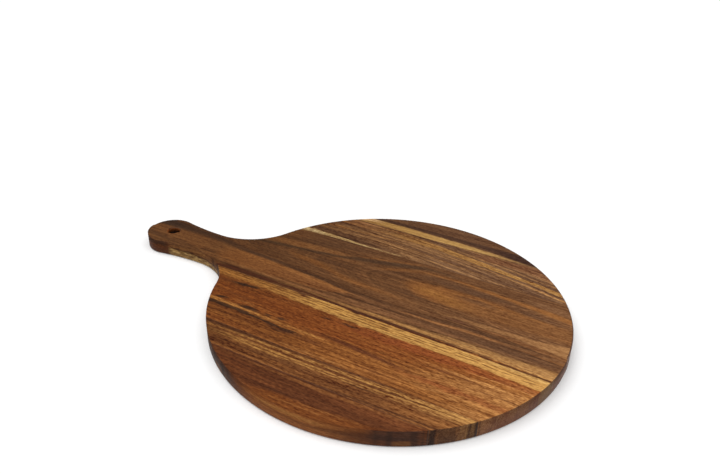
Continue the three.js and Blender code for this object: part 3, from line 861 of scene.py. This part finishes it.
# painted shade: the hole's raw wall is painted darker towards the bottom of the bore
bore = mix_colours(tree, smooth_step(tree, wood.at["Z"], *BORE_LIGHT), BORE_PAINTED_SHADE, RAW_WOOD)
wood.colour = mix_colours(tree, bored, wood.colour, bore)
wood.finish(handle, veins=0.2, fibres=0.21)

# Streaked stave
# A brown acacia stave full of fine pale streaks, which swing to the left past the middle of the disc,
# with a cream stripe of sapwood by the neck. It is planed square and glued on both sides.
streaked = cut_stave("streaked_stave", "streaked_board")
wood = Wood("streaked_acacia", 5, sweep=0.16, sweep_from=30, lines=0.16,
            dark=tone(81, 53, 34), middle=tone(112, 77, 50), light=tone(148, 105, 65))
CREAM = tone(178, 146, 98)
STREAK_PALE = tone(166, 117, 68)
STREAK_DARK = tone(84, 54, 37)
wood.streak("reddish top", tone(126, 78, 48), [
    (118, 113, 5, 40), (90, 116, 7, 50), (66, 116, 6, 20), (50, 114, 5, 0)], soft=6)
wood.streak("dark top", STREAK_DARK, [
    (145, 86, 4.2, 45), (110, 85, 4, 44), (80, 83.5, 3, 40), (60, 81.4, 3.4, 34), (40, 82.4, 2.4, 35),
    (24, 82, 1.5, 0)], soft=3)
wood.streak("dark ground", STREAK_DARK, [
    (30, 88.5, 3, 0), (5, 85, 6.6, 50), (-12, 83, 8, 65), (-40, 82.6, 7.6, 58), (-65, 81, 6.4, 52),
    (-95, 79, 4.6, 45), (-125, 77.5, 3.5, 40), (-145, 77, 3, 30)], soft=4)
wood.streak("reddish low end", tone(111, 69, 42), [
    (-25, 119, 3, 0), (-50, 115, 5.4, 75), (-75, 115.4, 5.4, 75), (-98, 116, 7, 72),
    (-120, 111, 6, 60)], soft=4)
wood.streak("light line 1", STREAK_PALE, [
    (132, 91.4, 0.8, 35), (102, 90.6, 0.8, 20), (82, 90, 0.6, 0), (58, 89.6, 0.6, 0)])
wood.streak("light line 2", STREAK_PALE, [
    (128, 98.8, 2, 75), (106, 98.6, 2.2, 82), (92, 98.8, 1.7, 65), (80, 99.2, 1.5, 60), (54, 100, 1.4, 50),
    (36, 100.6, 0.9, 0)])
wood.streak("dark line 1", STREAK_DARK, [
    (122, 107, 2.2, 40), (95, 107.5, 2.2, 50), (80, 107, 1.6, 40), (62, 106, 1.2, 0)], soft=2.5)
wood.streak("light line 3", STREAK_PALE, [
    (68, 89, 0.7, 20), (50, 87.8, 0.9, 42), (38, 86.9, 0.7, 25), (22, 85.5, 0.6, 0)])
wood.streak("light line 4", STREAK_PALE, [
    (22, 84, 0.6, 10), (5, 82.6, 0.8, 40), (-20, 80.6, 0.8, 42), (-40, 78.6, 0.9, 45), (-60, 77.8, 0.7, 30),
    (-95, 77, 0.9, 30), (-108, 76.8, 0.6, 0)])
wood.streak("light line 5", STREAK_PALE, [
    (28, 94, 0.6, 10), (5, 91, 0.9, 55), (-20, 87.8, 0.9, 50), (-40, 85.4, 0.9, 45), (-60, 83.2, 0.7, 30),
    (-82, 81, 0.6, 0)])
wood.streak("dark line 2", STREAK_DARK, [
    (38, 97.7, 1, 30), (10, 95.3, 1.3, 65), (-22, 92.4, 1.8, 66), (-45, 89, 1.2, 58), (-65, 86.7, 1.2, 50),
    (-82, 84.4, 0.8, 10)])
wood.streak("dark line 3", STREAK_DARK, [
    (-70, 84.6, 1.2, 20), (-95, 81.5, 1.6, 55), (-110, 79, 1.4, 45), (-124, 77, 1, 0)], soft=2)
wood.streak("broad pale streak", tone(166, 117, 59), [
    (65, 113, 3.5, 15), (40, 113.6, 5, 44), (22, 113, 5.6, 54), (0, 110.9, 4.2, 60), (-20, 107.7, 3.9, 70),
    (-40, 104, 3.5, 75), (-60, 100.6, 2.7, 80), (-90, 95.6, 2.2, 85), (-110, 92.5, 2.4, 85),
    (-142, 86, 2.4, 85)], soft=2.2)
wood.streak("thin line in it", STREAK_DARK, [
    (12, 110.6, 0.3, 0), (-20, 106.4, 0.45, 50), (-40, 103.4, 0.45, 60), (-60, 100.3, 0.45, 60),
    (-90, 95.6, 0.4, 55), (-142, 85.4, 0.4, 50)], soft=0.8)
wood.streak("light line 6", STREAK_PALE, [
    (2, 100.7, 0.6, 10), (-20, 98.5, 0.8, 40), (-45, 96, 0.9, 45), (-70, 92.5, 1, 55), (-90, 89, 1.1, 65),
    (-105, 86.5, 1.3, 80), (-120, 83, 1.3, 85), (-142, 78, 1.3, 85)])
wood.streak("dark line 4", STREAK_DARK, [
    (-55, 96.7, 0.8, 20), (-80, 93, 1, 45), (-100, 89.5, 1, 55), (-120, 86, 0.9, 55),
    (-138, 82.6, 0.8, 55)], soft=1.2)
wood.streak("dark line 5", STREAK_DARK, [
    (15, 117.5, 1.4, 20), (-10, 114.5, 1.6, 50), (-42, 109.4, 1.6, 58), (-70, 104.6, 1.3, 55),
    (-85, 101.4, 1.7, 65), (-100, 98.8, 1.6, 65), (-130, 93.2, 1.6, 70)])
wood.streak("light line 7", STREAK_PALE, [
    (-12, 115.4, 0.6, 10), (-35, 111.8, 0.9, 50), (-50, 109.6, 0.9, 50), (-70, 106.8, 0.9, 50),
    (-90, 103.6, 1, 50), (-125, 98.2, 0.9, 45)])
wood.streak("dark line 6", STREAK_DARK, [
    (-72, 107.8, 1, 20), (-92, 105.5, 1.8, 55), (-118, 101.5, 1.5, 45)], soft=2)
wood.streak("light line 8", STREAK_PALE, [
    (-48, 121, 1, 10), (-64, 120.4, 1.2, 20), (-80, 119.6, 1, 0), (-118, 116, 1, 0)], soft=2)
wood.streak("dark line 7", STREAK_DARK, [
    (30, 120.6, 0.6, 10), (10, 119.8, 1.2, 55), (-14, 119.4, 1.8, 60), (-50, 116.7, 0.9, 20)])
wood.streak("light line 9", STREAK_PALE, [
    (75, 119.5, 1, 0), (55, 120.4, 1.4, 42), (40, 120.6, 1.4, 40), (22, 120.6, 0.8, 0)])
wood.streak("cream stripe", CREAM, [
    (152, 77.6, 4.6, 95), (135, 77.3, 4.1, 95), (110, 77, 3.6, 95), (95, 76.6, 2.8, 95), (80, 76, 1.9, 92),
    (65, 75.5, 1.2, 90), (50, 75.5, 1.05, 85), (36, 75.6, 0.8, 65), (24, 75.7, 0.6, 40),
    (10, 75.8, 0.4, 0)], soft=1.4, ragged=0.2)
wood.streak("bright end of the cream", tone(210, 186, 146), [
    (152, 77, 3.4, 85), (130, 77, 3.3, 80), (106, 77, 2, 0)], soft=2.5)
wood.end_grain()
wood.finish(streaked, veins=0.5, fibres=0.34, strands=0.1)

# Right edge stave
# A dark brown acacia stave at the right rim, with a band of honey sapwood along its joint. It is
# glued along that one side, and sawn and sanded to the disc's curve on the other.
right_edge = cut_stave("right_edge_stave", "right_edge_board")
wood = Wood("right_edge_acacia", 6, lean=0.2, bands=0.06, lines=0.05,
            dark=tone(82, 53, 35), middle=tone(99, 66, 43), light=tone(118, 80, 52))
wood.streak("reddish low end", tone(86, 54, 31), [
    (-15, 146, 5, 0), (-50, 143.5, 7, 50), (-85, 138, 7, 50), (-104, 133, 6, 40)], soft=6)
wood.streak("dark line", tone(58, 36, 27), [
    (95, 136, 2, 50), (80, 136.6, 2.6, 60), (60, 136.8, 3, 65), (40, 136.6, 3, 65), (0, 135.8, 3, 62),
    (-40, 135, 3.6, 75), (-60, 133.4, 4.8, 88), (-85, 131, 6.2, 97), (-104, 129, 6.6, 100)], soft=4.5)
wood.streak("honey", tone(175, 133, 76), [
    (108, 122.5, 4, 60), (92, 126.4, 5.6, 85), (80, 127.4, 5.6, 85), (60, 127.8, 5.5, 90),
    (40, 127.6, 5.4, 97), (20, 126.6, 5.1, 100), (0, 126.2, 4.9, 100), (-30, 125.8, 4, 90),
    (-60, 125, 2.6, 65), (-80, 124, 1.5, 40), (-104, 123, 0.8, 30)], soft=2.4, closed=0.45)
wood.streak("cream end", tone(232, 192, 146), [
    (112, 122, 3, 45), (103, 125, 3.4, 70), (92, 128.6, 3, 75), (82, 130.4, 2.4, 60),
    (70, 131, 1.5, 0)], soft=2.5)
wood.streak("brown side", tone(120, 76, 42), [
    (100, 123.8, 1.2, 15), (75, 123.4, 0.9, 40), (50, 123.3, 0.8, 50), (30, 123, 0.5, 40),
    (-5, 122.7, 0.3, 0)], soft=1.4)
wood.streak("brown line in the honey", HONEY_BROWN, [
    (70, 127, 0.4, 20), (30, 126.4, 0.5, 35), (-10, 125.6, 0.4, 30), (-40, 125, 0.4, 0)], soft=1)
wood.end_grain()
wood.finish(right_edge)

# Glue lines
# A film of cured wood glue in each of the five joints, squeezed out thin by the clamps. It is sawn and
# sanded flush with the staves, so all that shows of it is a dark line.
GLUE_LINES = 5
GLUE_DARK = tone(50, 31, 22)
GLUE_LIGHT = tone(72, 46, 31)
GLUE_CLOUD = (3, 12, 3)
GLUE_SWING = 0.2
GLUE_ROUGHNESS = 0.6
glue, tree, shader = new_material("cured_glue")
place = add_node(tree, "TexCoord", {}).outputs["Object"]
cloud = stretched_noise(tree, scaled(tree, place, MM), GLUE_CLOUD)
share = maths(tree, "MULTIPLY_ADD", cloud, GLUE_SWING, MIDDLE)
tree.links.new(mix_colours(tree, share, GLUE_DARK, GLUE_LIGHT), shader.inputs["Base Color"])
shader.inputs["Roughness"].default_value = GLUE_ROUGHNESS
for number in range(1, GLUE_LINES + 1):
    film = cut_stave(f"glue_line_{number}", f"glue_film_{number}")
    film.data.materials.append(glue)

# Studio
# A white floor that takes the board's shadow, soft light from overhead, one wide softbox past the end
# of the handle and one opposite it, and the camera.
WHITE = (1, 1, 1, 1)
FLOOR_GAP = 0.0002
FLOOR_REACH = 6
PAPER_WHITE = (0.83, 0.83, 0.83, 1)
PAPER_ROUGHNESS = 0.9
PAPER_GLOW = 0.16       # lifts the paper to white where the camera sees it
floor_mesh = bpy.data.meshes.new("studio_floor")
bm = bmesh.new()
bmesh.ops.create_grid(
    bm, x_segments=1, y_segments=1, size=FLOOR_REACH, matrix=Matrix.Translation((0, 0, -FLOOR_GAP)))
bm.to_mesh(floor_mesh)
bm.free()
floor = put_in_scene("studio_floor", floor_mesh)
paper, tree, shader = new_material("white_paper")
shader.inputs["Base Color"].default_value = PAPER_WHITE
shader.inputs["Roughness"].default_value = PAPER_ROUGHNESS
shader.inputs["Specular IOR Level"].default_value = 0.0
shader.inputs["Emission Color"].default_value = WHITE
rays = add_node(tree, "LightPath", {}).outputs
seen = maths(tree, "MAXIMUM", rays["Is Camera Ray"], rays["Is Glossy Ray"])
tree.links.new(maths(tree, "MULTIPLY", seen, PAPER_GLOW), shader.inputs["Emission Strength"])
floor_mesh.materials.append(paper)

HORIZON = 0.12
OVERHEAD = 0.8
OVERHEAD_FALL = 5.0     # how fast the overhead light fades towards the horizon
world = bpy.data.worlds.new("studio_air")
bpy.context.scene.world = world
world.use_nodes = True
tree = world.node_tree
rays = add_node(tree, "LightPath", {}).outputs
seen = maths(tree, "MAXIMUM", rays["Is Camera Ray"], rays["Is Transmission Ray"])
toward = add_node(tree, "TexCoord", {}).outputs["Generated"]
upward = maths(tree, "MAXIMUM", add_node(tree, "SeparateXYZ", {0: toward}).outputs["Z"], 0.0)
glow = maths(tree, "MULTIPLY_ADD", maths(tree, "POWER", upward, OVERHEAD_FALL), OVERHEAD, HORIZON)
strength = add_node(tree, "Mix", {0: seen, 2: glow, 3: 1.0}, data_type="FLOAT").outputs[0]
tree.nodes["Background"].inputs["Color"].default_value = WHITE
tree.links.new(strength, tree.nodes["Background"].inputs["Strength"])

BACK_KEY = ("back_softbox", 1.56, Vector((0.18, -0.42, -1)))
FRONT_KEY = ("front_softbox", 0.94, Vector((0.02, 0.46, -1)))
KEY_SPREAD = math.radians(50)
for name, energy, heading in (BACK_KEY, FRONT_KEY):
    key = bpy.data.lights.new(name, "SUN")
    key.energy = energy
    key.angle = KEY_SPREAD
    put_in_scene(name, key).rotation_euler = heading.to_track_quat("-Z", "Y").to_euler()

CAMERA_PLACE = Vector((-0.4582, -0.2172, 0.3577))
CAMERA_AIM = Vector((0.0893, 0.0791, 0.015))
CAMERA_ROLL = math.radians(1.4)
SENSOR_WIDTH = 36
LENS = 34.07
camera = bpy.data.cameras.new("photo_camera")
camera.sensor_width = SENSOR_WIDTH
camera.lens = LENS
viewer = put_in_scene("photo_camera", camera)
turn = (CAMERA_AIM - CAMERA_PLACE).to_track_quat("-Z", "Y").to_matrix()
turn = turn @ Matrix.Rotation(CAMERA_ROLL, 3, "Z")
viewer.matrix_world = Matrix.Translation(CAMERA_PLACE) @ turn.to_4x4()
bpy.context.scene.camera = viewer

bpy.context.scene.view_settings.view_transform = "Standard"
